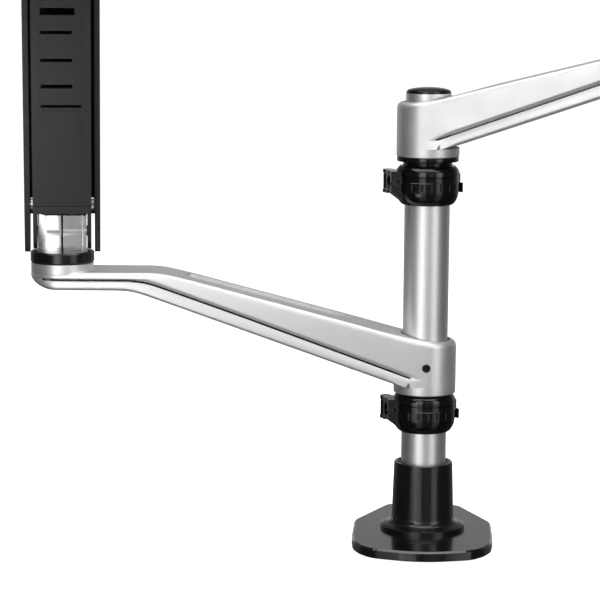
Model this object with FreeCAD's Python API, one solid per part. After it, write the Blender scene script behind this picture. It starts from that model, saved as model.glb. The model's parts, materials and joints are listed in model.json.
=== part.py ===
import FreeCAD, Part
import math
import os

# Two-arm desk stand for flat screens: a bolted base and pole, and on it two identical arms.
# Frame: +Z up, +X right, -Y towards the user. Origin: pole axis at the base's underside. Units mm.

V = FreeCAD.Vector
R = FreeCAD.Rotation
P = FreeCAD.Placement
UP = V(0, 0, 1)

# --- driving dimensions -------------------------------------------------------------------------
POLE_R, POLE_WALL, POLE_TOP = 17.5, 2.5, 349.0
RUN = 0.06                                   # radial clearance of a running fit
GAP = 0.4                                    # gap between faces of pieces that move past each other

PLATE_T, PAD_T = 7.0, 1.5
PLATE_TOP = PLATE_T + PAD_T
SOCKET_FLOOR, SOCKET_TOP = 22.0, 61.4
DESK_BOLT_R = 4.25                           # M10 thread, tapping size

ARM_HALF = 24.2                              # half width of the arm casting, and its hub radius
ELBOW_T = 281.5                              # pole axis to elbow axis
HUB_H = 42.0
TONGUE_LOW, TONGUE_TOP, SEAT_TOP = 80.6, 95.0, 100.2
DISC_R, DISC_H = 24.6, 8.5

COLLAR_H, COLLAR_R = 30.1, 24.5
COLLAR_TURN = 17.0                           # the clamp ear stands this far forward of the left
LINK = 245.0                                 # pivot to pivot, both links of a spring arm
LIFT_TOP = 80.0                              # highest elevation of a spring arm, degrees
ROD_RATE = 18.5                              # gas rod travel in mm per radian of lift
P1 = V(-18.6, 0, 43.5)                       # outer link's pivot, from the elbow axis at disc bottom
PIVOT_STEP = V(14.3, 0, -20.5)               # from the outer link's pivot to the inner link's
OUT_HALF, OUT_WALL = 29.4, 4.4               # outer shell
IN_HALF, IN_WALL = 22.4, 3.2                 # inner shell
KNUCKLE_HALF = 18.7
BOSS_HALF = OUT_HALF - OUT_WALL - 0.4         # bosses that space the outer shell on its pins
PIN_R, HEAD_R = 4.0, 5.4
NECK = 47.0                                  # outer pivot to the screen head's swivel axis
TILT_X = 30.0                                # swivel axis to tilt axis
VESA_X = 22.0                                # tilt axis to the back of the screen plate
VESA_HALF, VESA_T = 58.0, 2.6

# --- where each side stands at rest ---------------------------------------------------------------
# hub bottom height, arm azimuth, spring arm azimuth, spring arm elevation, screen head azimuth
SIDES = {
    "lower": dict(hub=116.5, arm=183.1, link=-82.0, lift=78.0, head=-90.0, washer=0.0),
    "upper": dict(hub=300.5, arm=-14.0, link=-100.0, lift=14.0, head=-90.0, washer=6.6),
}


# --- small helpers --------------------------------------------------------------------------------
def cyl(r, z0, z1, x=0.0, y=0.0):
    return Part.makeCylinder(r, z1 - z0, V(x, y, z0), UP)


def tube(r_in, r_out, z0, z1):
    return cyl(r_out, z0, z1).cut(cyl(r_in, z0 - 1, z1 + 1))


def across(r, y0, y1, x=0.0, z=0.0):
    """A cylinder along the local Y axis."""
    return Part.makeCylinder(r, y1 - y0, V(x, y0, z), V(0, 1, 0))


def forward(r, x0, x1, y=0.0, z=0.0):
    """A cylinder along the local X axis."""
    return Part.makeCylinder(r, x1 - x0, V(x0, y, z), V(1, 0, 0))


def box(x0, x1, y0, y1, z0, z1):
    return Part.makeBox(x1 - x0, y1 - y0, z1 - z0, V(x0, y0, z0))


def turned(profile):
    """A solid turned about Z from (radius, height) points."""
    pts = [V(r, 0, z) for r, z in profile]
    return Part.Face(Part.makePolygon(pts + pts[:1])).revolve(V(0, 0, 0), UP, 360)


def slab(points, y0, y1):
    """A prism of an outline in the XZ plane, from y0 to y1."""
    pts = [V(x, y0, z) for x, z in points]
    return Part.Face(Part.makePolygon(pts + pts[:1])).extrude(V(0, y1 - y0, 0))


def sheet(points, z0, z1):
    """A prism of an outline in the XY plane, from z0 to z1."""
    pts = [V(x, y, z0) for x, y in points]
    return Part.Face(Part.makePolygon(pts + pts[:1])).extrude(V(0, 0, z1 - z0))


def rounded(points, radius, steps=6):
    """The outline with each corner replaced by an arc, as short chords."""
    out = []
    n = len(points)
    for i in range(n):
        a, b, c = (V(*points[(i + k) % n], 0) for k in (-1, 0, 1))
        u, w = (a - b), (c - b)
        r = radius[i] if isinstance(radius, (list, tuple)) else radius
        half = u.getAngle(w) / 2
        if half > math.radians(89):
            out.append((b.x, b.y))
            continue
        cut = min(r / math.tan(half), 0.49 * u.Length, 0.49 * w.Length)
        r = cut * math.tan(half)
        u.normalize()
        w.normalize()
        mid = b + (u + w).normalize() * (r / math.sin(half))
        p, q = b + u * cut, b + w * cut
        a0 = math.atan2(p.y - mid.y, p.x - mid.x)
        a1 = math.atan2(q.y - mid.y, q.x - mid.x)
        turn = (a1 - a0 + math.pi) % (2 * math.pi) - math.pi
        for k in range(steps + 1):
            t = a0 + turn * k / steps
            out.append((mid.x + r * math.cos(t), mid.y + r * math.sin(t)))
    return out


def joined(*solids):
    first = solids[0]
    return first.fuse(list(solids[1:])).removeSplitter() if len(solids) > 1 else first


def hull_of(circles):
    """Outline round a chain of circles (x, z, r), as a prism profile joining each pair."""
    parts = []
    for (xa, za, ra), (xb, zb, rb) in zip(circles, circles[1:]):
        d = math.hypot(xb - xa, zb - za)
        base = math.atan2(zb - za, xb - xa)
        lean = math.acos((ra - rb) / d)
        quad = []
        for side in (1, -1):
            t = base + side * lean
            ends = [(xa + ra * math.cos(t), za + ra * math.sin(t)),
                    (xb + rb * math.cos(t), zb + rb * math.sin(t))]
            quad += ends if side == 1 else ends[::-1]
        parts.append(quad)
    return parts


def lobe(circles, y0, y1):
    """Solid of rounded lobes joined along a chain, between y0 and y1."""
    solids = [across(r, y0, y1, x, z) for x, z, r in circles]
    solids += [slab(quad, y0, y1) for quad in hull_of(circles)]
    return joined(*solids)


def export(name, shape, place=None):
    shape = shape.copy()
    if place is not None:
        shape.Placement = place.multiply(shape.Placement)
    shape.exportStep("parts/" + name + ".step")


# --- base and pole --------------------------------------------------------------------------------
def base_outline():
    right = [(10, -82), (44, -72), (53, -50), (54.5, -30), (54, 21), (29, 79)]
    left = [(-x, y) for x, y in reversed(right)]
    return rounded(right + left, [60, 24, 40, 60, 16, 10, 10, 16, 60, 40, 24, 60])


def make_base():
    plate = sheet(base_outline(), PAD_T, PLATE_TOP)
    rim = [e for e in plate.Edges if e.BoundBox.ZMin > PLATE_TOP - 0.01]
    plate = plate.makeChamfer(1.4, rim)
    plate = plate.fuse(cyl(20, 0, PAD_T)).cut(cyl(DESK_BOLT_R, -1, PLATE_TOP + 1))
    screws = [(24 * math.cos(t), 24 * math.sin(t)) for t in (math.pi / 2, 3.665, 5.76)]
    for x, y in screws:
        plate = plate.cut(cyl(2.5, 0, 20, x, y)).cut(cyl(4.6, 0, 4.6, x, y))
    export("base_plate", plate.removeSplitter())

    inset = [(x * 0.955, y * 0.962) for x, y in base_outline()]
    export("base_pad", sheet(inset, 0, PAD_T).cut(cyl(20 + 1, -1, 5)).cut(
        joined(*[cyl(5.2, -1, 5, x, y) for x, y in screws])))

    flare = [(DESK_BOLT_R, PLATE_TOP), (33, PLATE_TOP), (33, 11.2), (30.6, 12.4)]
    for k in range(7):
        t = math.radians(90 * k / 6)
        flare.append((30.2 - 6.0 * math.sin(t), 18.6 - 6.0 * math.cos(t)))
    flare += [(22.8, SOCKET_TOP - 0.6), (22.2, SOCKET_TOP), (20.4, SOCKET_TOP),
              (19.2, SOCKET_TOP - 1.6), (POLE_R, SOCKET_TOP - 1.6),
              (POLE_R, SOCKET_FLOOR), (DESK_BOLT_R, SOCKET_FLOOR)]
    socket = turned(flare)
    for x, y in screws:
        socket = socket.cut(cyl(2.1, PLATE_TOP - 1, 19, x, y))
    grubs = []
    for z in (36, 50):
        socket = socket.cut(across(3, 10, 30, 0, z))
        grub = across(3, POLE_R + 0.05, 22.6, 0, z)
        hexagon = [(1.7 * math.cos(k * math.pi / 3), z + 1.7 * math.sin(k * math.pi / 3))
                   for k in range(6)]
        grubs.append(grub.cut(slab(hexagon, 20.4, 24)))
    for x, y in screws:
        grubs.append(joined(cyl(2.1, 4.6, 17, x, y), cyl(4.4, 1.9, 4.6, x, y)).cut(
            cyl(1.6, 0, 4.0, x, y)))
    export("pole_socket", socket)
    export("base_screws", Part.makeCompound(grubs))

    export("pole_tube", tube(POLE_R - POLE_WALL, POLE_R, SOCKET_FLOOR, POLE_TOP))
    dome = [(0, POLE_TOP - 14), (13.6, POLE_TOP - 14), (POLE_R - POLE_WALL, POLE_TOP - 11),
            (POLE_R - POLE_WALL, POLE_TOP), (17.2, POLE_TOP), (17.2, POLE_TOP + 1.2)]
    for k in range(1, 7):
        t = math.radians(15 * k)
        dome.append((17.2 * math.cos(t) if k < 6 else 0, POLE_TOP + 1.2 + 3.4 * math.sin(t)))
    export("pole_cap", turned(dome))


# --- collar that carries an arm -------------------------------------------------------------------
EAR_X, LEVER_PIN = -26.9, (-27.4, 13.5)


def make_collar(side, s):
    top = s["hub"] - GAP - s["washer"]
    low = top - COLLAR_H
    bore = POLE_R + 2.0
    place = P(V(0, 0, 0), R(UP, COLLAR_TURN))
    bowl = [(19.2, 0), (20.9, 1.4), (22.3, 3.4), (23.5, 6.4), (24.0, 9.4), (24.0, 10.4),
            (24.4, 10.8), (24.4, 17.8), (24.0, 18.2), (24.0, 21.6), (23.5, 22.0), (23.5, 22.6),
            (COLLAR_R, 23.0), (COLLAR_R, 25.6), (23.6, 27.6), (21.4, 30.1)]
    ring = turned([(bore, low + 0.8)] + [(r, low + z) for r, z in bowl] + [(bore, top)])
    for k in range(20):                      # finger grooves round the middle band
        a = math.radians(18 * k + 9)
        if math.cos(a) > -0.85:
            ring = ring.cut(cyl(1.5, low + 11.4, low + 17.2, 25.3 * math.cos(a), 25.3 * math.sin(a)))
    z0, z1 = low + 7.5, low + 26.4
    ear = slab([(-31, low + 10.5), (-31, z1), (-18.5, z1), (-17, low + 2.2), (-19, low + 1.4)],
               -7.5, 7.5)
    lugs = cyl(4.4, z0 + 1, z1, *LEVER_PIN).fuse(box(-30.9, -22, 6, 13.5, z0 + 1, z1))
    lugs = lugs.cut(box(-40, -20, 7.9, 30, z0 + 3.6, z1 - 2.6))
    ring = ring.fuse([ear, lugs]).cut(cyl(bore, low - 1, top + 1))
    ring = ring.cut(box(-40, -10, -1.0, 1.0, low - 1, top + 1))
    mid = (z0 + z1) / 2 + 1
    ring = ring.cut(across(2.5, -20, 7.0, EAR_X, mid)).cut(across(4.6, -20, -4.6, EAR_X, mid))
    ring = ring.cut(cyl(2.0, z0 - 5, z1 + 5, *LEVER_PIN))
    ring = ring.cut(forward(5.0, -40, -29.6, 0, mid))
    export(side + "_collar_ring", ring.removeSplitter(), place)
    export(side + "_collar_liner", tube(POLE_R + RUN, bore, low + 0.8, top).cut(
        box(-40, -10, -0.8, 0.8, low - 1, top + 1)), place)

    head = across(4.4, -8.3, -4.6, EAR_X, mid).cut(across(1.9, -9, -6.4, EAR_X, mid))
    screw = head.fuse(across(2.5, -4.6, 6.9, EAR_X, mid))
    pin = cyl(2.0, z0 + 1, z1, *LEVER_PIN)
    export(side + "_collar_pins", Part.makeCompound([screw, pin]), place)

    a0, a1 = math.radians(2), math.radians(150)
    arc = []
    for r, start, end in ((25.0, a0, a1), (26.8, a1, a0)):
        steps = [start + (end - start) * k / 24 for k in range(25)]
        arc += [(r * math.cos(t), r * math.sin(t)) for t in steps]
    lever = sheet(arc, z0 + 4.0, z1 - 3.0)
    lever = lever.fuse([cyl(4.0, z0 + 4.0, z1 - 3.0, *LEVER_PIN),
                        sheet([(-30.9, 14.5), (-27.4, 17.2), (-22.4, 15.5), (-21.6, 12.8),
                               (-24.8, 10.6)], z0 + 4.0, z1 - 3.0)])
    lever = lever.fuse(sheet([(24.95, 1.0), (26.8, 1.0), (27.6, -3.4), (26.0, -4.2), (24.95, -1.0)],
                             z0 + 1.6, z0 + 9.0))
    lever = lever.cut(cyl(2.0 + RUN, z0, z1, *LEVER_PIN))
    lever = lever.cut(cyl(COLLAR_R + GAP, z0, z1 + 1))
    export(side + "_collar_lever", lever.removeSplitter(), place)

    if s["washer"]:
        washer = turned([(POLE_R + RUN, top), (18.9, top), (18.9, top + 3.0), (23.8, top + 3.4),
                         (23.8, s["hub"] - GAP), (POLE_R + RUN, s["hub"] - GAP)])
        export(side + "_thrust_washer", washer)


# --- cast arm -------------------------------------------------------------------------------------
TOP_LINE = [(-24.2, 42.0), (-4, 42.0), (10, 44.3), (24, 48.1), (40, 52.3), (200, 93.8), (207, 95.0),
            (306, TONGUE_TOP)]
LOW_LINE = [(306, TONGUE_LOW), (231, TONGUE_LOW), (223, 79.0), (214, 76.2), (26, 9.8), (20, 8.0),
            (16, 7.0)]
GROOVE = [(8, 12.6), (14, 14.3), (26, 18.6), (142, 60.9), (206, 83.4), (216, 86.4), (228, 87.9),
          (306, 87.9)]


def plan(grow=0.0):
    """The arm seen from above: a straight bar with a round hub and a round nose."""
    r = ARM_HALF + grow
    return joined(cyl(r, -5, 130), cyl(r, -5, 130, ELBOW_T), box(0, ELBOW_T, -r, r, -5, 130))


def groove_cutter():
    """A band along both flanks: a scoop that deepens down to a sharp ledge."""
    steps, depth, height = 6, 2.3, 9.5
    bands = []
    for k in range(steps):
        upper = [(x, z + height * (1 - k / steps)) for x, z in GROOVE]
        band = slab(upper + GROOVE[::-1], -40, 40)
        bands.append(band.cut(plan(-depth * (k + 1) / steps)))
    return bands


def make_arm(side, s):
    place = P(V(0, 0, s["hub"]), R(UP, s["arm"]))
    outline = TOP_LINE + LOW_LINE
    body = slab(outline, -ARM_HALF, ARM_HALF).common(plan())
    hub = turned([(0, 0), (23.2, 0), (ARM_HALF, 1.0), (ARM_HALF, 39.0), (23.3, 41.2),
                  (21.2, 42.0), (0, 42.0)])
    nose_cut = slab([(296, TONGUE_LOW - 1), (320, TONGUE_LOW - 1), (320, TONGUE_LOW + 8.5)],
                    -40, 40)
    seat = turned([(0, 92), (ARM_HALF, 92), (ARM_HALF, SEAT_TOP - 0.7), (ARM_HALF - 0.7, SEAT_TOP),
                   (0, SEAT_TOP)])
    seat.translate(V(ELBOW_T, 0, 0))
    body = body.fuse([hub, seat])
    body = body.cut(nose_cut.common(box(296, 320, -40, 40, 60, 92)))
    for band in groove_cutter():
        body = body.cut(band)
    # long pocket in the top face, with a cable hole through its hub end
    x0, x1, half = 66.0, 178.0, 9.0
    slope = (93.8 - 52.3) / 160.0
    z_at = lambda x: 52.3 + slope * (x - 40.0)
    floor = slab([(x0 - 12, z_at(x0 - 12) - 4.2), (x1 + 12, z_at(x1 + 12) - 4.2),
                  (x1 + 12, z_at(x1 + 12) + 20), (x0 - 12, z_at(x0 - 12) + 20)], -half, half)
    stadium = joined(cyl(half, 0, 130, x0), cyl(half, 0, 130, x1), box(x0, x1, -half, half, 0, 130))
    body = body.cut(floor.common(stadium))
    body = body.cut(cyl(5.5, 0, 130, x0 - 1.5))
    # cable channel under the arm, and the rebate its cover sits in
    under = slab([(38, 5), (38, 28.0), (214, 88.0 - 0.5), (214, 60)], -17, 17)
    body = body.cut(under.common(slab([(30, -10), (30, 11.2 + 12.0), (216, 76.9 + 9.0),
                                       (216, -10)], -20, 20)))
    body = body.cut(slab([(33, 0), (33, 12.3 + 2.6), (212, 75.5 + 2.6), (212, 40)], -20, 20))
    # bores
    body = body.cut(cyl(POLE_R + 2.0, -1, 60)).cut(cyl(12.5, 70, 110, ELBOW_T))
    body = body.cut(cyl(17.5, 60, TONGUE_LOW + 6.0, ELBOW_T))
    body = body.cut(across(3.3, 15, 30, 0, 22.2))
    export(side + "_arm_casting", body.removeSplitter(), place)

    cover = slab([(33.4, 12.44 - 0.1), (33.4, 12.44 + 2.4), (211.6, 75.36 + 2.4),
                  (211.6, 75.36 - 0.1)], -19.6, 19.6)
    clips = [box(x, x + 8, y, y + 1.6, 0, 99) for x in (60, 120, 180) for y in (-16.9, 15.3)]
    band = slab([(34, 14.5), (34, 20.5), (212, 83.4), (212, 77.4)], -18, 18)
    cover = cover.fuse([clip.common(band) for clip in clips])
    export(side + "_cable_cover", cover.removeSplitter(), place)

    export(side + "_hub_bush", tube(POLE_R + RUN, POLE_R + 2.0, 0.4, HUB_H - 1.0), place)
    screw = across(3.3, POLE_R + 2.0 + 0.05, 23.4, 0, 22.2)
    hexagon = [(1.75 * math.cos(k * math.pi / 3), 22.2 + 1.75 * math.sin(k * math.pi / 3))
               for k in range(6)]
    export(side + "_hub_screw", screw.cut(slab(hexagon, 21.0, 25)), place)
    bush = tube(9.0 + RUN, 12.5, TONGUE_LOW + 6.0, SEAT_TOP)
    bush.translate(V(ELBOW_T, 0, 0))
    export(side + "_elbow_bush", bush, place)


# --- elbow: disc, knuckle and its fastenings --------------------------------------------------------
def make_elbow(side, place):
    disc = turned([(0, 0), (24.0, 0), (DISC_R, 0.6), (DISC_R, DISC_H - 1.2), (DISC_R - 1.2, DISC_H),
                   (0, DISC_H)])
    shaft = cyl(9.0, -17.3, 0.5)
    fin = slab([(-16, DISC_H - 1), (4, DISC_H - 1), (4, 36), (-8, 46), (-16, 40)], -0.7, 0.7)
    for q in (P1, P1 + PIVOT_STEP):
        fin = fin.cut(across(6.0, -1, 1, q.x, q.z))
    disc = joined(disc, shaft, fin).cut(cyl(3.0, -18, -6.8)).removeSplitter()
    export(side + "_swivel_disc", disc, place)
    screw = joined(cyl(3.0, -17.3, -7.3), cyl(7.0, -19.9, -17.3), cyl(14.5, -18.7, -17.3))
    export(side + "_elbow_screw", screw.cut(cyl(2.4, -20.5, -18.3)), place)

    p2 = P1 + PIVOT_STEP
    k = KNUCKLE_HALF
    for name, y0, y1, boss in (("left", -k, -0.8, (-BOSS_HALF, -k)), ("right", 0.8, k, (k, BOSS_HALF))):
        cheek = lobe([(P1.x, P1.z, 13.0), (p2.x, p2.z, 12.2)], y0, y1)
        foot = slab([(-21, DISC_H), (7.6, DISC_H), (7.6, 36.0), (5.2, 37.0), (5.2, 46.5), (-4, 51),
                     (-31.4, P1.z), (-29.0, P1.z - 8)], y0, y1)
        on_disc = cyl(23.4, DISC_H, 99).fuse(box(-60, 20, -k, k, DISC_H + 9, 99))
        cheek = joined(cheek, foot.common(on_disc), across(6.0, *boss, P1.x, P1.z))
        for q in (P1, p2):
            cheek = cheek.cut(across(PIN_R, -40, 40, q.x, q.z))
        if name == "left":                   # a long facet beside the flat front
            facet = sheet([(8, -12.0), (8, -20), (4.6, -20), (4.6, -19), (7.6, -12.0)], 0, 60)
        else:                                # a narrow line beside the flat front
            facet = box(6.2, 9, 14.6, 15.6, 0, 60)
        cheek = cheek.cut(facet)
        export(side + "_cheek_" + name, cheek.removeSplitter(), place)
    export(side + "_lift_pins", Part.makeCompound(lift_pins(P1, p2)), place)


def lift_pins(a, b):
    """The outer link's pin and the shorter pin of the inner link, with sunk heads."""
    outer, inner = [joined(across(PIN_R, -end, end, q.x, q.z),
                           across(HEAD_R, end - 1, end, q.x, q.z),
                           across(HEAD_R, -end, 1 - end, q.x, q.z))
                    for end, q in ((OUT_HALF - 0.2, a), (IN_HALF - 0.2, b))]
    return [outer, inner]


# --- spring arm: two links and the gas spring between them ------------------------------------------
def side_wall(outline, half, wall):
    return [slab(outline, -half, -half + wall), slab(outline, half - wall, half)]


def pin_holes(link, half):
    """Holes for the pins at both ends, with a sink for each head."""
    for x in (0, LINK):
        link = link.cut(across(PIN_R + RUN, -40, 40, x, 0))
        for y0, y1 in ((-40, 1.6 - half), (half - 1.6, 40)):
            link = link.cut(across(HEAD_R + 0.3, y0, y1, x, 0))
    return link


def make_links(side, s, outer_place, inner_place):
    skirt = rounded([(-39, -9.5), (-39, 2), (-14, 17), (LINK + 4, 17), (LINK + 16, 8),
                     (LINK + 16, -6), (LINK + 8, -11), (14, -11), (-4, -11)],
                    [6, 6, 10, 10, 10, 10, 10, 10, 6])
    walls = side_wall(skirt, OUT_HALF, OUT_WALL)
    web = box(-14, LINK + 4, -OUT_HALF, OUT_HALF, 14.0, 17.0)
    shell = joined(web, *walls)
    edges = [e for e in shell.Edges if e.BoundBox.ZMin > 16.9 and e.BoundBox.XLength > 200]
    shell = shell.makeFillet(2.4, edges)
    cradle = joined(box(206, 214, -9, 9, -6, 14.2), box(92, 97, -13, 13, 8.0, 14.2))
    shell = shell.fuse(cradle).cut(forward(10.0, 40, 206))
    shell = pin_holes(shell, OUT_HALF)
    export(side + "_outer_shell", shell.removeSplitter(), outer_place)

    cylinder = joined(forward(10.0, 84, 206), forward(7.0, 82, 84))
    cylinder = cylinder.cut(forward(4.0 + RUN, 81, 175))
    export(side + "_gas_cylinder", cylinder.removeSplitter(), outer_place)
    rod = joined(forward(4.0, 32, 120), forward(6.5, 23, 34))
    rod = rod.cut(across(2.6, -20, 20, 28, 0))
    rod.translate(V(ROD_RATE * math.radians(LIFT_TOP - s["lift"]), 0, 0))
    export(side + "_gas_rod", rod.removeSplitter(), outer_place)

    ear = rounded([(-14, -9), (-14, 9.0), (10, 9.0), (LINK - 12, 9.0), (LINK + 12, 9),
                   (LINK + 12, -8), (LINK - 6, -10), (10, -10)],
                  [9, 9, 9, 9, 8, 8, 8, 4])
    walls = side_wall(ear, IN_HALF, IN_WALL)
    cover = box(17, LINK - 22, -IN_HALF, IN_HALF, -10.0, -7.4)
    lip = box(17, 23, -IN_HALF, IN_HALF, -11.0, -7.4)
    panel = box(103, LINK - 26, -15.8, 15.8, -10.8, -7.4)
    pad = box(58, 99, -14.2, 14.2, -10.7, -7.4)
    inner = joined(cover, lip, panel, pad, *walls)
    # vents across the cover, above the gas spring
    vents = [(102.6, 2.4, 15.0), (118.2, 3.0, 8.5), (138.5, 2.6, 8.5), (160.0, 2.6, 8.5),
             (176.0, 5.6, 10.5), (197.0, 2.6, 8.5), (212.0, 2.6, 8.5)]
    for x, wide, right in vents:
        inner = inner.cut(box(x - wide / 2, x + wide / 2, -15.4, right, -12, -6))
    inner = pin_holes(inner, IN_HALF)
    export(side + "_inner_shell", inner.removeSplitter(), inner_place)


# --- screen head -----------------------------------------------------------------------------------
HEAD_Z = -10.0                               # middle of the swivel boss, from the outer pivot


def make_end(side, place):
    a, b = V(0, 0, 0), PIVOT_STEP
    k = KNUCKLE_HALF
    body = lobe([(a.x, a.z, 11.5), (b.x, b.z, 10.5)], -k, k)
    neck = box(4, NECK, -11, 11, HEAD_Z - 9, HEAD_Z + 9)
    boss = cyl(13.0, HEAD_Z - 14, HEAD_Z + 14, NECK)
    body = body.fuse([neck, boss, across(6.0, -BOSS_HALF, BOSS_HALF, 0, 0)])
    body = body.cut(cyl(5.0 + RUN, -60, 60, NECK))
    for p in (a, b):
        body = body.cut(across(PIN_R, -40, 40, p.x, p.z))
    export(side + "_end_knuckle", body.removeSplitter(), place)
    export(side + "_end_pins", Part.makeCompound(lift_pins(a, b)), place)


def make_head(side, place):
    """Local frame: swivel axis at x 0, tilt axis at TILT_X, screen plate in front of it."""
    lugs = []
    for z0, z1 in ((HEAD_Z - 19, HEAD_Z - 14 - GAP), (HEAD_Z + 14 + GAP, HEAD_Z + 19)):
        lugs += [cyl(13.0, z0, z1), box(0, 18, -13, 13, z0, z1)]
    spine = box(14, 18, -13, 13, HEAD_Z - 19, HEAD_Z + 19)
    fork = [slab(rounded([(16, -13 + HEAD_Z), (16, 13 + HEAD_Z), (TILT_X + 11, 11 + HEAD_Z),
                          (TILT_X + 11, -11 + HEAD_Z)], [1, 1, 10.5, 10.5]), y0, y1)
            for y0, y1 in ((-17.0, -12.4), (12.4, 17.0))]
    spine = spine.fuse(box(14, 18, -17, 17, HEAD_Z - 13, HEAD_Z + 13))
    yoke = joined(spine, *(lugs + fork))
    yoke = yoke.cut(cyl(5.0, -60, 60)).cut(across(4.0, -40, 40, TILT_X, HEAD_Z))
    export(side + "_head_yoke", yoke.removeSplitter(), place)
    bolt = joined(cyl(5.0, HEAD_Z - 19, HEAD_Z + 20), cyl(8.5, HEAD_Z + 19, HEAD_Z + 22.5),
                  cyl(8.0, HEAD_Z - 23, HEAD_Z - 19))
    export(side + "_head_bolt", bolt.cut(cyl(2.6, HEAD_Z + 20.5, HEAD_Z + 30)), place)

    barrel = across(9.5, -12.0, 12.0, TILT_X, HEAD_Z)
    stem = forward(8.0, TILT_X, TILT_X + VESA_X - 5, 0, HEAD_Z)
    flange = forward(17.0, TILT_X + VESA_X - 7, TILT_X + VESA_X - GAP, 0, HEAD_Z)
    spindle = forward(6.0, TILT_X + VESA_X - 4, TILT_X + VESA_X + VESA_T + 0.6, 0, HEAD_Z)
    block = joined(barrel, stem, flange, spindle)
    block = block.cut(across(4.0 + RUN, -40, 40, TILT_X, HEAD_Z))
    block = block.cut(forward(2.1, TILT_X + 12, TILT_X + 60, 0, HEAD_Z))
    export(side + "_tilt_block", block.removeSplitter(), place)
    bolt = joined(across(4.0, -17.2, 17.2, TILT_X, HEAD_Z), across(7.0, -21.0, -17.0, TILT_X, HEAD_Z),
                  across(6.5, 17.0, 20.5, TILT_X, HEAD_Z))
    bolt = bolt.cut(across(2.5, -22, -19, TILT_X, HEAD_Z))
    export(side + "_tilt_bolt", bolt, place)

    # screen plate: four arms joined by a square web, 75 and 100 mm hole squares
    x0 = TILT_X + VESA_X
    h = VESA_HALF
    square = rounded([(-h, -h), (h, -h), (h, h), (-h, h)], 7)
    plate = sheet(square, 0, VESA_T)
    for a in (0, 90, 180, 270):
        window = sheet(rounded([(-17, 28), (17, 28), (22, h + 5), (-22, h + 5)], [5, 5, 1, 1]),
                       -1, 9)
        window.rotate(V(0, 0, 0), UP, a)
        plate = plate.cut(window)
    for d in (37.5, 50.0):
        for sx in (-d, d):
            for sy in (-d, d):
                plate = plate.cut(cyl(2.25, -1, 9, sx, sy))
    plate = plate.cut(cyl(6.0 + RUN, -1, 9))
    plate = plate.removeSplitter()
    plate.rotate(V(0, 0, 0), V(0, 1, 0), 90)
    plate.translate(V(x0, 0, HEAD_Z))
    export(side + "_screen_plate", plate, place)
    cap = forward(11.0, x0 + VESA_T + GAP, x0 + VESA_T + 2.2, 0, HEAD_Z)
    cap = cap.cut(forward(6.0, x0, x0 + VESA_T + 0.6, 0, HEAD_Z))
    cap = cap.fuse(forward(2.1, TILT_X + 14, x0 + VESA_T + 2.0, 0, HEAD_Z))
    cap = cap.cut(forward(1.5, x0 + VESA_T + 1.0, x0 + 20, 0, HEAD_Z))
    export(side + "_spindle_cap", cap.removeSplitter(), place)


# --- build ------------------------------------------------------------------------------------------
os.makedirs("parts", exist_ok=True)
make_base()
for side, s in SIDES.items():
    make_collar(side, s)
    make_arm(side, s)
    arm = P(V(0, 0, s["hub"]), R(UP, s["arm"]))
    axis = arm.multVec(V(ELBOW_T, 0, SEAT_TOP + GAP))
    elbow = P(axis, R(UP, s["link"]))
    make_elbow(side, elbow)
    lift = R(V(0, 1, 0), -s["lift"])
    outer = elbow.multiply(P(P1, lift))
    inner = elbow.multiply(P(P1 + PIVOT_STEP, lift))
    make_links(side, s, outer, inner)
    far = outer.multVec(V(LINK, 0, 0))
    level = P(far, R(UP, s["link"]))
    make_end(side, level)
    make_head(side, P(level.multVec(V(NECK, 0, 0)), R(UP, s["head"])))
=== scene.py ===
import json
import math

import bmesh
import bpy
from mathutils import Matrix, Vector


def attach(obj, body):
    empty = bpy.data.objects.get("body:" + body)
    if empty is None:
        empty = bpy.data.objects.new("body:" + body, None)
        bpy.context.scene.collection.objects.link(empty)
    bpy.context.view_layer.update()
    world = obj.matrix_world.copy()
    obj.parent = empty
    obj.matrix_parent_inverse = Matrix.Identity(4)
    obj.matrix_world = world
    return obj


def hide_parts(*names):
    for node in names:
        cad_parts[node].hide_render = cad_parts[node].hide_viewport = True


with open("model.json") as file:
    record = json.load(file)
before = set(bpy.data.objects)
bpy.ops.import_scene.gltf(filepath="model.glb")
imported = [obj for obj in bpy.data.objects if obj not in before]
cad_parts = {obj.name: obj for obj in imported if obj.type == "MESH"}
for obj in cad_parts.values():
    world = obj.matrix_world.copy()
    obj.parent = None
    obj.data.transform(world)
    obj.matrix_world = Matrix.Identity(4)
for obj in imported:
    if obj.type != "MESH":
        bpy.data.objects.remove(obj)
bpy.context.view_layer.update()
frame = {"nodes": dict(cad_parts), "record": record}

MM = 0.001
EDGE_RADIUS = 0.35 * MM
NODES = frame["nodes"]
SLOTS = {p["node"]: p["material_slot"] for p in frame["record"]["subparts"]}
BODY = {n: b for b, nodes in frame["record"]["behaviour"]["bodies"].items() for n in nodes}


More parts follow.
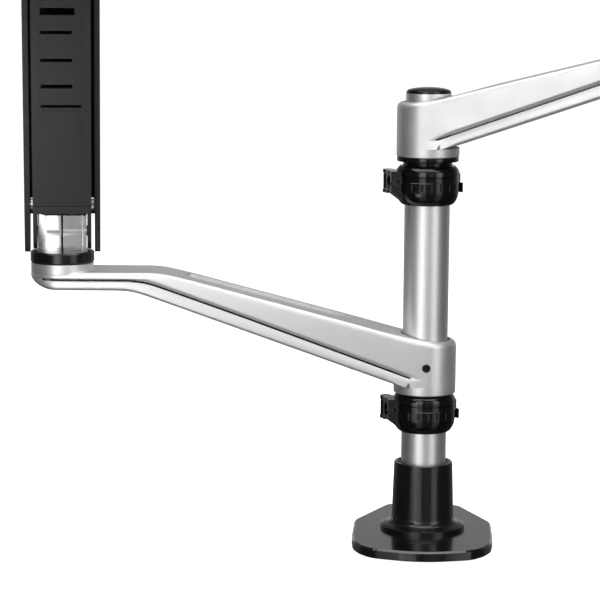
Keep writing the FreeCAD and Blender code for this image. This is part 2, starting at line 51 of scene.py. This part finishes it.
# --- materials ------------------------------------------------------------------------------------
class Shade:
    """A Principled material with helpers that add procedural detail in object space."""

    SPREAD = (0.3, 0.7)         # the part of a noise's range that sets roughness
    FINE_SPREAD = (0.35, 0.65)  # the part of a noise's range that sets colour

    def __init__(self, name, colour, rough, metal=0.0, coat=0.0, coat_rough=0.1, spec=0.5):
        self.m = bpy.data.materials.new(name)
        self.m.use_nodes = True
        self.t = self.m.node_tree
        self.b = self.t.nodes["Principled BSDF"]
        self.b.inputs["Base Color"].default_value = (*colour, 1)
        self.b.inputs["Roughness"].default_value = rough
        self.b.inputs["Metallic"].default_value = metal
        self.b.inputs["Coat Weight"].default_value = coat
        self.b.inputs["Coat Roughness"].default_value = coat_rough
        self.b.inputs["Specular IOR Level"].default_value = spec
        self.colour = colour
        self.coord = self.node("ShaderNodeTexCoord")
        self.normal = None

    def node(self, kind, **values):
        n = self.t.nodes.new(kind)
        for k, v in values.items():
            setattr(n, k, v)
        return n

    def link(self, a, b):
        self.t.links.new(a, b)

    def noise(self, scale, detail=4.0, rough=0.55, stretch=None):
        n = self.node("ShaderNodeTexNoise")
        n.inputs["Scale"].default_value = scale
        n.inputs["Detail"].default_value = detail
        n.inputs["Roughness"].default_value = rough
        source = self.coord.outputs["Object"]
        if stretch:
            mp = self.node("ShaderNodeMapping")
            mp.inputs["Scale"].default_value = stretch
            self.link(source, mp.inputs["Vector"])
            source = mp.outputs["Vector"]
        self.link(source, n.inputs["Vector"])
        return n.outputs["Fac"]

    def vary_colour(self, source, low, high):
        ramp = self.node("ShaderNodeValToRGB")
        for stop, at, gain in zip(ramp.color_ramp.elements, self.FINE_SPREAD, (low, high)):
            stop.position = at
            stop.color = (*(min(1.0, c * gain) for c in self.colour), 1)
        self.link(source, ramp.inputs["Fac"])
        self.link(ramp.outputs["Color"], self.b.inputs["Base Color"])
        return self

    def vary_rough(self, source, low, high):
        r = self.node("ShaderNodeMapRange")
        ends = (*self.SPREAD, low, high)
        for name, value in zip(("From Min", "From Max", "To Min", "To Max"), ends):
            r.inputs[name].default_value = value
        self.link(source, r.inputs["Value"])
        self.link(r.outputs["Result"], self.b.inputs["Roughness"])
        return self

    def bump(self, source, depth, strength=1.0):
        n = self.node("ShaderNodeBump")
        n.inputs["Distance"].default_value = depth
        n.inputs["Strength"].default_value = strength
        self.link(source, n.inputs["Height"])
        if self.normal:
            self.link(self.normal, n.inputs["Normal"])
        self.normal = n.outputs["Normal"]
        self.link(self.normal, self.b.inputs["Normal"])
        return self


def make_materials():
    out = {}
    s = Shade("silver_paint", (0.82, 0.825, 0.83), 0.46, metal=0.92)
    fine = s.noise(2600, 3)
    s.vary_colour(fine, 0.95, 1.05).vary_rough(s.noise(60, 5), 0.43, 0.50)
    s.bump(fine, 0.00002, 0.35)
    out["silver_paint"] = s
    s = Shade("silver_cover", (0.56, 0.565, 0.575), 0.42, metal=0.3)
    s.vary_rough(s.noise(90, 5), 0.38, 0.5).bump(s.noise(1800, 3), 0.00003, 0.4)
    out["silver_cover"] = s
    s = Shade("anodised_pole", (0.83, 0.835, 0.845), 0.26, metal=1.0)
    grain = s.noise(900, 5, 0.6, stretch=(4, 4, 0.03))
    s.vary_colour(grain, 0.96, 1.03).vary_rough(grain, 0.42, 0.48)
    s.bump(grain, 0.000004, 0.25)
    out["anodised_pole"] = s
    s = Shade("gloss_black", (0.005, 0.005, 0.006), 0.16, coat=0.5, coat_rough=0.08)
    s.vary_rough(s.noise(45, 5), 0.14, 0.22).bump(s.noise(500, 4), 0.00002, 0.2)
    out["gloss_black"] = s
    s = Shade("satin_black", (0.005, 0.005, 0.006), 0.22)
    s.vary_rough(s.noise(80, 5), 0.19, 0.27).bump(s.noise(1500, 4), 0.00001, 0.3)
    out["satin_black"] = s
    s = Shade("black_plastic", (0.003, 0.003, 0.0035), 0.15, spec=0.45)
    s.vary_rough(s.noise(70, 5), 0.12, 0.18).bump(s.noise(2200, 3), 0.00001, 0.3)
    out["black_plastic"] = s
    s = Shade("black_shell", (0.021, 0.021, 0.022), 0.36)
    s.vary_rough(s.noise(90, 5), 0.32, 0.41).bump(s.noise(1700, 4), 0.00003, 0.4)
    out["black_shell"] = s
    s = Shade("plate_black", (0.010, 0.010, 0.011), 0.48)
    s.vary_rough(s.noise(90, 5), 0.42, 0.55).bump(s.noise(1100, 5), 0.00007, 0.8)
    out["plate_black"] = s
    s = Shade("gas_black", (0.006, 0.006, 0.007), 0.2, coat=0.4)
    s.vary_rough(s.noise(60, 4), 0.17, 0.26)
    out["gas_black"] = s
    s = Shade("black_screw", (0.012, 0.012, 0.013), 0.33, metal=0.4)
    s.vary_rough(s.noise(400, 4), 0.26, 0.42)
    out["black_screw"] = s
    s = Shade("zinc_screw", (0.55, 0.55, 0.56), 0.32, metal=1.0)
    s.vary_rough(s.noise(300, 4), 0.25, 0.42)
    out["zinc_screw"] = s
    for name in ("chrome_knuckle", "chrome_rod"):
        s = Shade(name, (0.84, 0.84, 0.85), 0.2, metal=1.0)
        s.vary_rough(s.noise(60, 3), 0.19, 0.22)
        out[name] = s
    s = Shade("rubber_pad", (0.020, 0.020, 0.020), 0.8)
    s.bump(s.noise(900, 3), 0.0001, 0.8).vary_rough(s.noise(200, 3), 0.7, 0.9)
    out["rubber_pad"] = s
    s = Shade("bush_plastic", (0.035, 0.035, 0.035), 0.55)
    s.bump(s.noise(1200, 3), 0.00004, 0.5).vary_rough(s.noise(150, 3), 0.48, 0.62)
    out["bush_plastic"] = s
    return {k: v.m for k, v in out.items()}


MATS = make_materials()


# --- mesh tools -------------------------------------------------------------------------------------
def add_mesh(name, bm):
    me = bpy.data.meshes.new(name)
    bm.to_mesh(me)
    bm.free()
    o = bpy.data.objects.new(name, me)
    bpy.context.scene.collection.objects.link(o)
    return o


def apply_all(o):
    """Replaces the mesh by what its modifiers make of it."""
    dg = bpy.context.evaluated_depsgraph_get()
    me = bpy.data.meshes.new_from_object(o.evaluated_get(dg))
    o.modifiers.clear()
    o.data = me
    return o


def smooth(o, angle):
    """Smooth shading, with edges over the angle kept sharp and flat faces kept flat."""
    for p in o.data.polygons:
        p.use_smooth = True
    o.data.set_sharp_from_angle(angle=math.radians(angle))
    w = o.modifiers.new("normals", "WEIGHTED_NORMAL")
    w.mode = "FACE_AREA"
    w.keep_sharp = True
    apply_all(o)
    return o


def finish_piece(o, node):
    """Materials, body and slot of a piece that stands for a CAD node."""
    o.data.materials.clear()
    o.data.materials.append(MATS[SLOTS[node]])
    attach(o, BODY[node])
    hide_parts(node)
    return o


def refine(node):
    """The CAD node's surface with its sharp edges softened to a small radius."""
    bm = bmesh.new()
    bm.from_mesh(NODES[node].data)
    bmesh.ops.remove_doubles(bm, verts=bm.verts, dist=1e-6)
    bmesh.ops.dissolve_limit(bm, angle_limit=math.radians(0.6), verts=bm.verts, edges=bm.edges)
    o = add_mesh("vis_" + node, bm)
    b = o.modifiers.new("edge", "BEVEL")
    b.width = EDGE_RADIUS
    b.segments = 2
    b.limit_method = "ANGLE"
    b.angle_limit = math.radians(34)
    b.use_clamp_overlap = True
    b.harden_normals = False
    apply_all(o)
    smooth(o, 30)
    return finish_piece(o, node)


# --- cast arm ---------------------------------------------------------------------------------------
# Lengths in mm. An arm lies along X from the pole's axis, with its hub's underside at height 0.
ARM_R, ELBOW_T = 24.2, 281.5
HUBS = {"lower": (116.5, 183.1), "upper": (300.5, -14.0)}       # height, azimuth in degrees
FILLET, SCOOP, SLOT = 4.6, 4.6, 5.4     # top edge radius, slope above the groove, its narrow gap
CROWN, CROWN_AT = 0.9, 17.0             # how far the top face dips, and how far in from the edge
NOSE_FLOOR, SEAT_LOW, SEAT_TOP = 86.6, 92.6, 100.2
BORE_R, BUSH_R, COUNTERBORE_R = 19.5, 12.5, 17.5                # on the pole, in the nose, below it
POCKET_DEPTH, CABLE_HOLE_R, CABLE_HOLE_T = 4.2, 5.5, 64.5
SCREW_HOLE_R, SCREW_HEIGHT = 3.3, 22.2
# (distance from the pole's axis, height)
TOP_LINE = [(-30, 42), (-6, 42), (10, 44.6), (24, 48.3), (40, 52.5), (198, 93.5), (208, 95), (320, 95)]
LOW_LINE = [(-30, 7), (15, 7), (26, 9.8), (214, 76.2), (223, 79.2), (231, 80.6), (320, 80.6)]
GROOVE_LINE = [(-30, 11.9), (3, 12.0), (14, 14.2), (26, 18.6), (142, 60.9), (206, 83.4), (216, 86.4),
               (228, 87.9), (320, 87.9)]


def along(line, t):
    """Height of a line of points at distance t."""
    for (a, za), (b, zb) in zip(line, line[1:]):
        if t <= b:
            return za + (zb - za) * (t - a) / (b - a)
    return line[-1][1]


def eased(line, t, spread):
    """The same with its corners rounded over a spread."""
    return sum(along(line, t + spread * k / 4) for k in range(-4, 5)) / 9


def step(x):
    """Smooth rise from 0 to 1."""
    x = min(1.0, max(0.0, x))
    return x * x * (3 - 2 * x)


def arm_heights(t):
    """Top, underside and groove heights of the arm at a distance t from the pole axis."""
    top = eased(TOP_LINE, t, 7.0)
    low = eased(LOW_LINE, t, 3.0 if t < 120 else 7.0)
    groove = eased(GROOVE_LINE, t, 4.0)
    if t > 285:                         # the underside curls up at the nose's tip
        low += 8.4 * ((t - 285) / 20.7) ** 2.2
    groove = max(groove, low + 1.9)
    return top, low, groove


def quarter(centre, start):
    """Stations on a quarter circle of the plan, clockwise from a start angle."""
    angles = [math.radians(start - 90 * k / 24) for k in range(25)]
    return [(centre + ARM_R * math.cos(a), ARM_R * math.sin(a), math.cos(a), math.sin(a)) for a in angles]


def arm_outline():
    """Plan stations along one flank, from hub to nose, as (t, y, normal t, normal y)."""
    flank = []
    t = 2.0
    while t < ELBOW_T - 1:
        flank.append((t, ARM_R, 0.0, 1.0))
        t += 2.0 if t < 34 or 190 < t < 240 else 6.0
    return quarter(0, 180) + flank + quarter(ELBOW_T, 90)


def groove_depth(t):
    """How far the flank's groove is cut, from 0 to 1."""
    return step((t - 4) / 22) * (1 - step((t - 284) / 18))


def arm_rows(t):
    """Rows of (inset, height) from the top face over the flank to the underside."""
    top, low, groove = arm_heights(t)
    deep = groove_depth(t)
    crown = CROWN * step((t - 25) / 30) * (1 - step((t - 175) / 22))
    scoop = min(SCOOP, top - FILLET - groove)
    strip = groove - low
    rows = [(x, top + crown * x * (2 * CROWN_AT - x) / CROWN_AT ** 2) for x in (13.0, 8.0, FILLET * 1.3)]
    for k in range(6):
        a = math.radians(18 * k)
        rows.append((FILLET * (1 - math.sin(a)),
                     top - FILLET * (1 - math.cos(a)) + crown * 0.3 * math.cos(a)))
    rows += [(0, (top - FILLET + groove + scoop) / 2), (0, groove + scoop)]
    for k in range(1, 6):
        x = k / 5
        rows.append((1.9 * deep * x ** 2, groove + 1.2 + (scoop - 1.2) * (1 - x)))
    rows += [(SLOT * deep, groove + 1.1), (SLOT * deep, groove), (1.6 * deep, groove - 0.01 * strip)]
    for inset, drop in ((1.2, 0.06), (0.9, 0.15), (0.6, 0.28), (0.3, 0.42)):
        rows.append((inset * deep, groove - drop * strip))
    r = min(2.8, 0.4 * strip) * step((t - 14) / 16)
    for k in range(5):
        a = math.radians(22.5 * k)
        rows.append((0.2 * deep + r * (1 - math.cos(a)), low + r * (1 - math.sin(a))))
    return rows + [(8.0, low)]


# What some of the rows are, by their places in that list.
TOP_ROWS, LOW_ROWS = 9, 6       # the first and the last ones take their height where they are inset to
# Where the groove is cut deep, the faces of these rows are painted black: painted shade in the narrow
# gap.
SLOT_ROWS = (15, 16, 17)        # the narrow gap above the lower strip


def arm_body():
    """Closed mesh of the bar, from lofted flanks and faces across the top and underside."""
    outline = arm_outline()
    bm = bmesh.new()
    grid = {}
    n_rows = len(arm_rows(0))
    for side in (1, -1):
        for i, (t, y, nt, ny) in enumerate(outline):
            if side == -1 and abs(y) < 1e-6:
                continue
            for j in range(n_rows):
                inset, z = arm_rows(t)[j]
                inner = t - nt * inset
                if j < TOP_ROWS or j >= n_rows - LOW_ROWS:
                    z = arm_rows(inner)[j][1]
                grid[side, i, j] = bm.verts.new((inner, side * (y - ny * inset), z))
    last = len(outline) - 1
    for j in range(n_rows):
        for i in (0, last):
            grid[-1, i, j] = grid[1, i, j]
    for side in (1, -1):
        for i in range(last):
            # Painted shade: where the gap is deep, its faces get the black material instead of the paint.
            painted_shade = SLOT * groove_depth(outline[i][0]) > 1.5
            for j in range(n_rows - 1):
                quad = [grid[side, i, j], grid[side, i + 1, j], grid[side, i + 1, j + 1],
                        grid[side, i, j + 1]]
                face = bm.faces.new(quad if side == 1 else quad[::-1])
                face.material_index = int(painted_shade and j in SLOT_ROWS)
    for j in (0, n_rows - 1):
        for i in range(last):
            quad = [grid[1, i, j], grid[-1, i, j], grid[-1, i + 1, j], grid[1, i + 1, j]]
            quad = [v for k, v in enumerate(quad) if v not in quad[:k]]
            bm.faces.new(quad if j == 0 else quad[::-1])
    bmesh.ops.remove_doubles(bm, verts=bm.verts, dist=0.004)
    bmesh.ops.dissolve_degenerate(bm, edges=bm.edges, dist=0.004)
    bmesh.ops.recalc_face_normals(bm, faces=bm.faces)
    return bm


def turned_mesh(bm, profile, x=0.0):
    """Adds a closed ring turned about an upright axis at x, from (radius, height) points."""
    rings = []
    for a in (2 * math.pi * k / 96 for k in range(96)):
        rings.append([bm.verts.new((x + r * math.cos(a), r * math.sin(a), z)) for r, z in profile])
    for a, b in zip(rings, rings[1:] + rings[:1]):
        for j in range(len(profile)):
            k = (j + 1) % len(profile)
            bm.faces.new((a[j], b[j], b[k], a[k]))


def prism(points, z0, z1):
    """Closed prism of an XY outline; z0 and z1 may be functions of x."""
    bm = bmesh.new()
    low, high = [[bm.verts.new((x, y, z(x) if callable(z) else z)) for x, y in points] for z in (z0, z1)]
    bm.faces.new(low[::-1])
    bm.faces.new(high)
    for i in range(len(points)):
        k = (i + 1) % len(points)
        bm.faces.new((low[i], low[k], high[k], high[i]))
    bmesh.ops.recalc_face_normals(bm, faces=bm.faces)
    return bm


def circle(r, x=0.0, n=64):
    return [(x + r * math.cos(2 * math.pi * k / n), r * math.sin(2 * math.pi * k / n)) for k in range(n)]


def stadium(x0, x1, r, n=24):
    """A rectangle with half round ends about x0 and x1."""
    half = [(r * math.sin(math.pi * k / n), -r * math.cos(math.pi * k / n)) for k in range(n + 1)]
    return [(x1 + x, y) for x, y in half] + [(x0 - x, -y) for x, y in half]


def carve(o, cutters):
    """Cuts closed meshes out of a piece, one after another."""
    for bm in cutters:
        c = add_mesh("cutter", bm)
        mod = o.modifiers.new("cut", "BOOLEAN")
        mod.operation = "DIFFERENCE"
        mod.solver = "MANIFOLD"
        mod.object = c
        apply_all(o)
        bpy.data.objects.remove(c)


def arm_cutters():
    """Everything that is cut out of the bar, as closed meshes in the arm's own frame."""
    def bore(r, z0, z1, x=0.0):
        return prism(circle(r, x), z0, z1)

    pocket = prism(stadium(66, 178, 9.0), lambda x: arm_heights(x)[0] - POCKET_DEPTH, 140.0)
    cable_hole = bore(CABLE_HOLE_R, 10, 140, CABLE_HOLE_T)
    # a channel between the flanks, which follows the bar's sloping underside
    rebate = prism([(33, -20), (212, -20), (212, 20), (33, 20)], lambda x: 0.3545 * x - 12.0,
                   lambda x: 0.3531 * x + 3.25)
    screw_hole = prism(circle(SCREW_HOLE_R, n=40), 15.0, 30.0)
    bmesh.ops.rotate(screw_hole, verts=screw_hole.verts, cent=(0, 0, 0),
                     matrix=Matrix.Rotation(math.radians(-90), 3, "X"))
    bmesh.ops.translate(screw_hole, verts=screw_hole.verts, vec=(0, 0, SCREW_HEIGHT))
    return [pocket, cable_hole, rebate, bore(BORE_R, -5, 60), bore(BUSH_R, 70, 110, ELBOW_T),
            bore(COUNTERBORE_R, 60, NOSE_FLOOR, ELBOW_T), screw_hole]


def cast_arm(side):
    hub_z, azimuth = HUBS[side]
    o = add_mesh("vis_%s_arm_casting" % side, arm_body())
    carve(o, arm_cutters())
    bm = bmesh.new()
    bm.from_mesh(o.data)
    # the hub's lower rim and the round seat on the nose
    turned_mesh(bm, [(BORE_R, 0), (23.3, 0), (23.9, 0.3), (ARM_R, 1.0), (ARM_R, 7.0), (BORE_R, 7.0)])
    turned_mesh(bm, [(BUSH_R, SEAT_LOW), (24.15, SEAT_LOW), (ARM_R, 93.2), (ARM_R, 99.3), (24.0, 99.9),
                     (23.4, SEAT_TOP), (BUSH_R, SEAT_TOP)], ELBOW_T)
    bmesh.ops.recalc_face_normals(bm, faces=bm.faces)
    bmesh.ops.scale(bm, vec=(MM, MM, MM), verts=bm.verts)
    bm.to_mesh(o.data)
    bm.free()
    turn = Matrix.Rotation(math.radians(azimuth), 4, "Z")
    o.data.transform(Matrix.Translation((0, 0, hub_z * MM)) @ turn)
    smooth(o, 28)
    # The faces marked in arm_body take black plastic as a second material. This is painted shade in the
    # narrow gap above the lower strip, not a separate black part.
    painted_shade = [p.material_index for p in o.data.polygons]
    finish_piece(o, side + "_arm_casting")
    o.data.materials.append(MATS["black_plastic"])
    o.data.polygons.foreach_set("material_index", painted_shade)


for side in HUBS:
    cast_arm(side)
for node in NODES:
    if not node.endswith("_arm_casting"):
        refine(node)


# --- studio -----------------------------------------------------------------------------------------
MIDDLE = Vector((0, 0, 0.25))


def area(name, at, look, wide, tall, power):
    """A rectangular light at a place, aimed at another."""
    d = bpy.data.lights.new(name, "AREA")
    d.energy = power
    d.shape = "RECTANGLE"
    d.size = wide
    d.size_y = tall
    o = bpy.data.objects.new(name, d)
    o.location = at
    o.rotation_euler = (Vector(look) - Vector(at)).to_track_quat("-Z", "Y").to_euler()
    o.visible_camera = False
    bpy.context.scene.collection.objects.link(o)


def softbox(name, azimuth, height, distance, wide, tall, radiance):
    """A tall light in front of the object; azimuth in degrees from -Y, to the right."""
    a = math.radians(azimuth)
    at = (distance * math.sin(a), -distance * math.cos(a), height)
    area(name, at, MIDDLE, wide, tall, radiance * math.pi * wide * tall)


def stage_floor():
    """A plain white floor, which reflections see as a dark polished one."""
    bm = bmesh.new()
    bmesh.ops.create_grid(bm, x_segments=8, y_segments=8, size=12.0)
    floor = add_mesh("floor", bm)
    floor.location = (0, 0, -0.0005)
    m = Shade("floor_white", (0.9, 0.9, 0.9), 0.9, spec=0.2)
    m.vary_rough(m.noise(8, 3), 0.85, 0.95)
    glow = m.node("ShaderNodeEmission")
    glow.inputs["Strength"].default_value = 0.98
    seen = m.node("ShaderNodeAddShader")
    m.link(m.b.outputs[0], seen.inputs[0])
    m.link(glow.outputs[0], seen.inputs[1])
    polished = m.node("ShaderNodeBsdfPrincipled")
    for name, value in {"Base Color": (0.05, 0.05, 0.05, 1), "Roughness": 0.12, "IOR": 2.1}.items():
        polished.inputs[name].default_value = value
    path = m.node("ShaderNodeLightPath")
    both = m.node("ShaderNodeMixShader")
    m.link(path.outputs["Is Camera Ray"], both.inputs[0])
    m.link(polished.outputs[0], both.inputs[1])
    m.link(seen.outputs[0], both.inputs[2])
    m.link(both.outputs[0], m.t.nodes["Material Output"].inputs["Surface"])
    floor.data.materials.append(m.m)


def surroundings():
    """A white room to look at, with dim sides and a brighter back wall in reflections."""
    w = bpy.data.worlds.new("studio")
    bpy.context.scene.world = w
    w.use_nodes = True
    t = w.node_tree
    link = t.links.new

    def node(kind, **values):
        n = t.nodes.new(kind)
        for k, v in values.items():
            setattr(n, k, v)
        return n

    split = node("ShaderNodeSeparateXYZ")
    link(node("ShaderNodeTexCoord").outputs["Generated"], split.inputs[0])
    wall = node("ShaderNodeMapRange", interpolation_type="SMOOTHSTEP")
    sky = node("ShaderNodeMapRange", interpolation_type="SMOOTHSTEP")
    for ramp, axis, ends in ((wall, "Y", (0.3, 0.95, 0.13, 0.8)), (sky, "Z", (0.0, 0.35, 1.0, 0.3))):
        for k, v in zip(("From Min", "From Max", "To Min", "To Max"), ends):
            ramp.inputs[k].default_value = v
        link(split.outputs[axis], ramp.inputs["Value"])
    room = node("ShaderNodeMath", operation="MULTIPLY")
    link(wall.outputs[0], room.inputs[0])
    link(sky.outputs[0], room.inputs[1])
    path = node("ShaderNodeLightPath")
    mix = node("ShaderNodeMix", data_type="FLOAT")
    link(path.outputs["Is Camera Ray"], mix.inputs["Factor"])
    link(room.outputs[0], mix.inputs["A"])
    mix.inputs["B"].default_value = 1.0
    bg = t.nodes["Background"]
    bg.inputs["Color"].default_value = (1, 1, 1, 1)
    link(mix.outputs[0], bg.inputs["Strength"])


def studio():
    stage_floor()
    surroundings()
    softbox("left", -18, 0.92, 2.1, 0.94, 1.84, 3.1)
    softbox("right", 44, 0.92, 2.1, 0.88, 1.84, 2.9)
    softbox("fill", 14, 0.95, 2.5, 1.0, 1.8, 0.5)
    area("top", (0, -0.3, 2.1), MIDDLE, 2.6, 1.4, 38)
    area("card", (-0.36, -0.50, 0.02), (-0.32, -0.06, 0.30), 0.24, 0.30, 0.6)
    bpy.context.scene.view_settings.view_transform = "Standard"


def camera():
    """The view: turned about the pole's axis, then pitched down and rolled a little."""
    turn, pitch, roll = math.radians(3.1), math.radians(8.4), math.radians(0.45)
    distance, height, aside = 1.900, 0.4684, -0.0975
    look = Vector((0, math.cos(pitch), -math.sin(pitch)))
    right = Vector((1, 0, 0))
    up = right.cross(look)
    r = right * math.cos(roll) + up * math.sin(roll)
    u = -right * math.sin(roll) + up * math.cos(roll)
    m = Matrix((r, u, -look)).transposed().to_4x4()
    m.translation = Vector((aside, -distance, height))
    m = Matrix.Rotation(turn, 4, "Z") @ m
    d = bpy.data.cameras.new("camera")
    d.sensor_width = 36.0
    d.lens = 148.56
    d.clip_start = 0.05
    d.clip_end = 100
    o = bpy.data.objects.new("camera", d)
    o.matrix_world = m
    bpy.context.scene.collection.objects.link(o)
    bpy.context.scene.camera = o


studio()
camera()
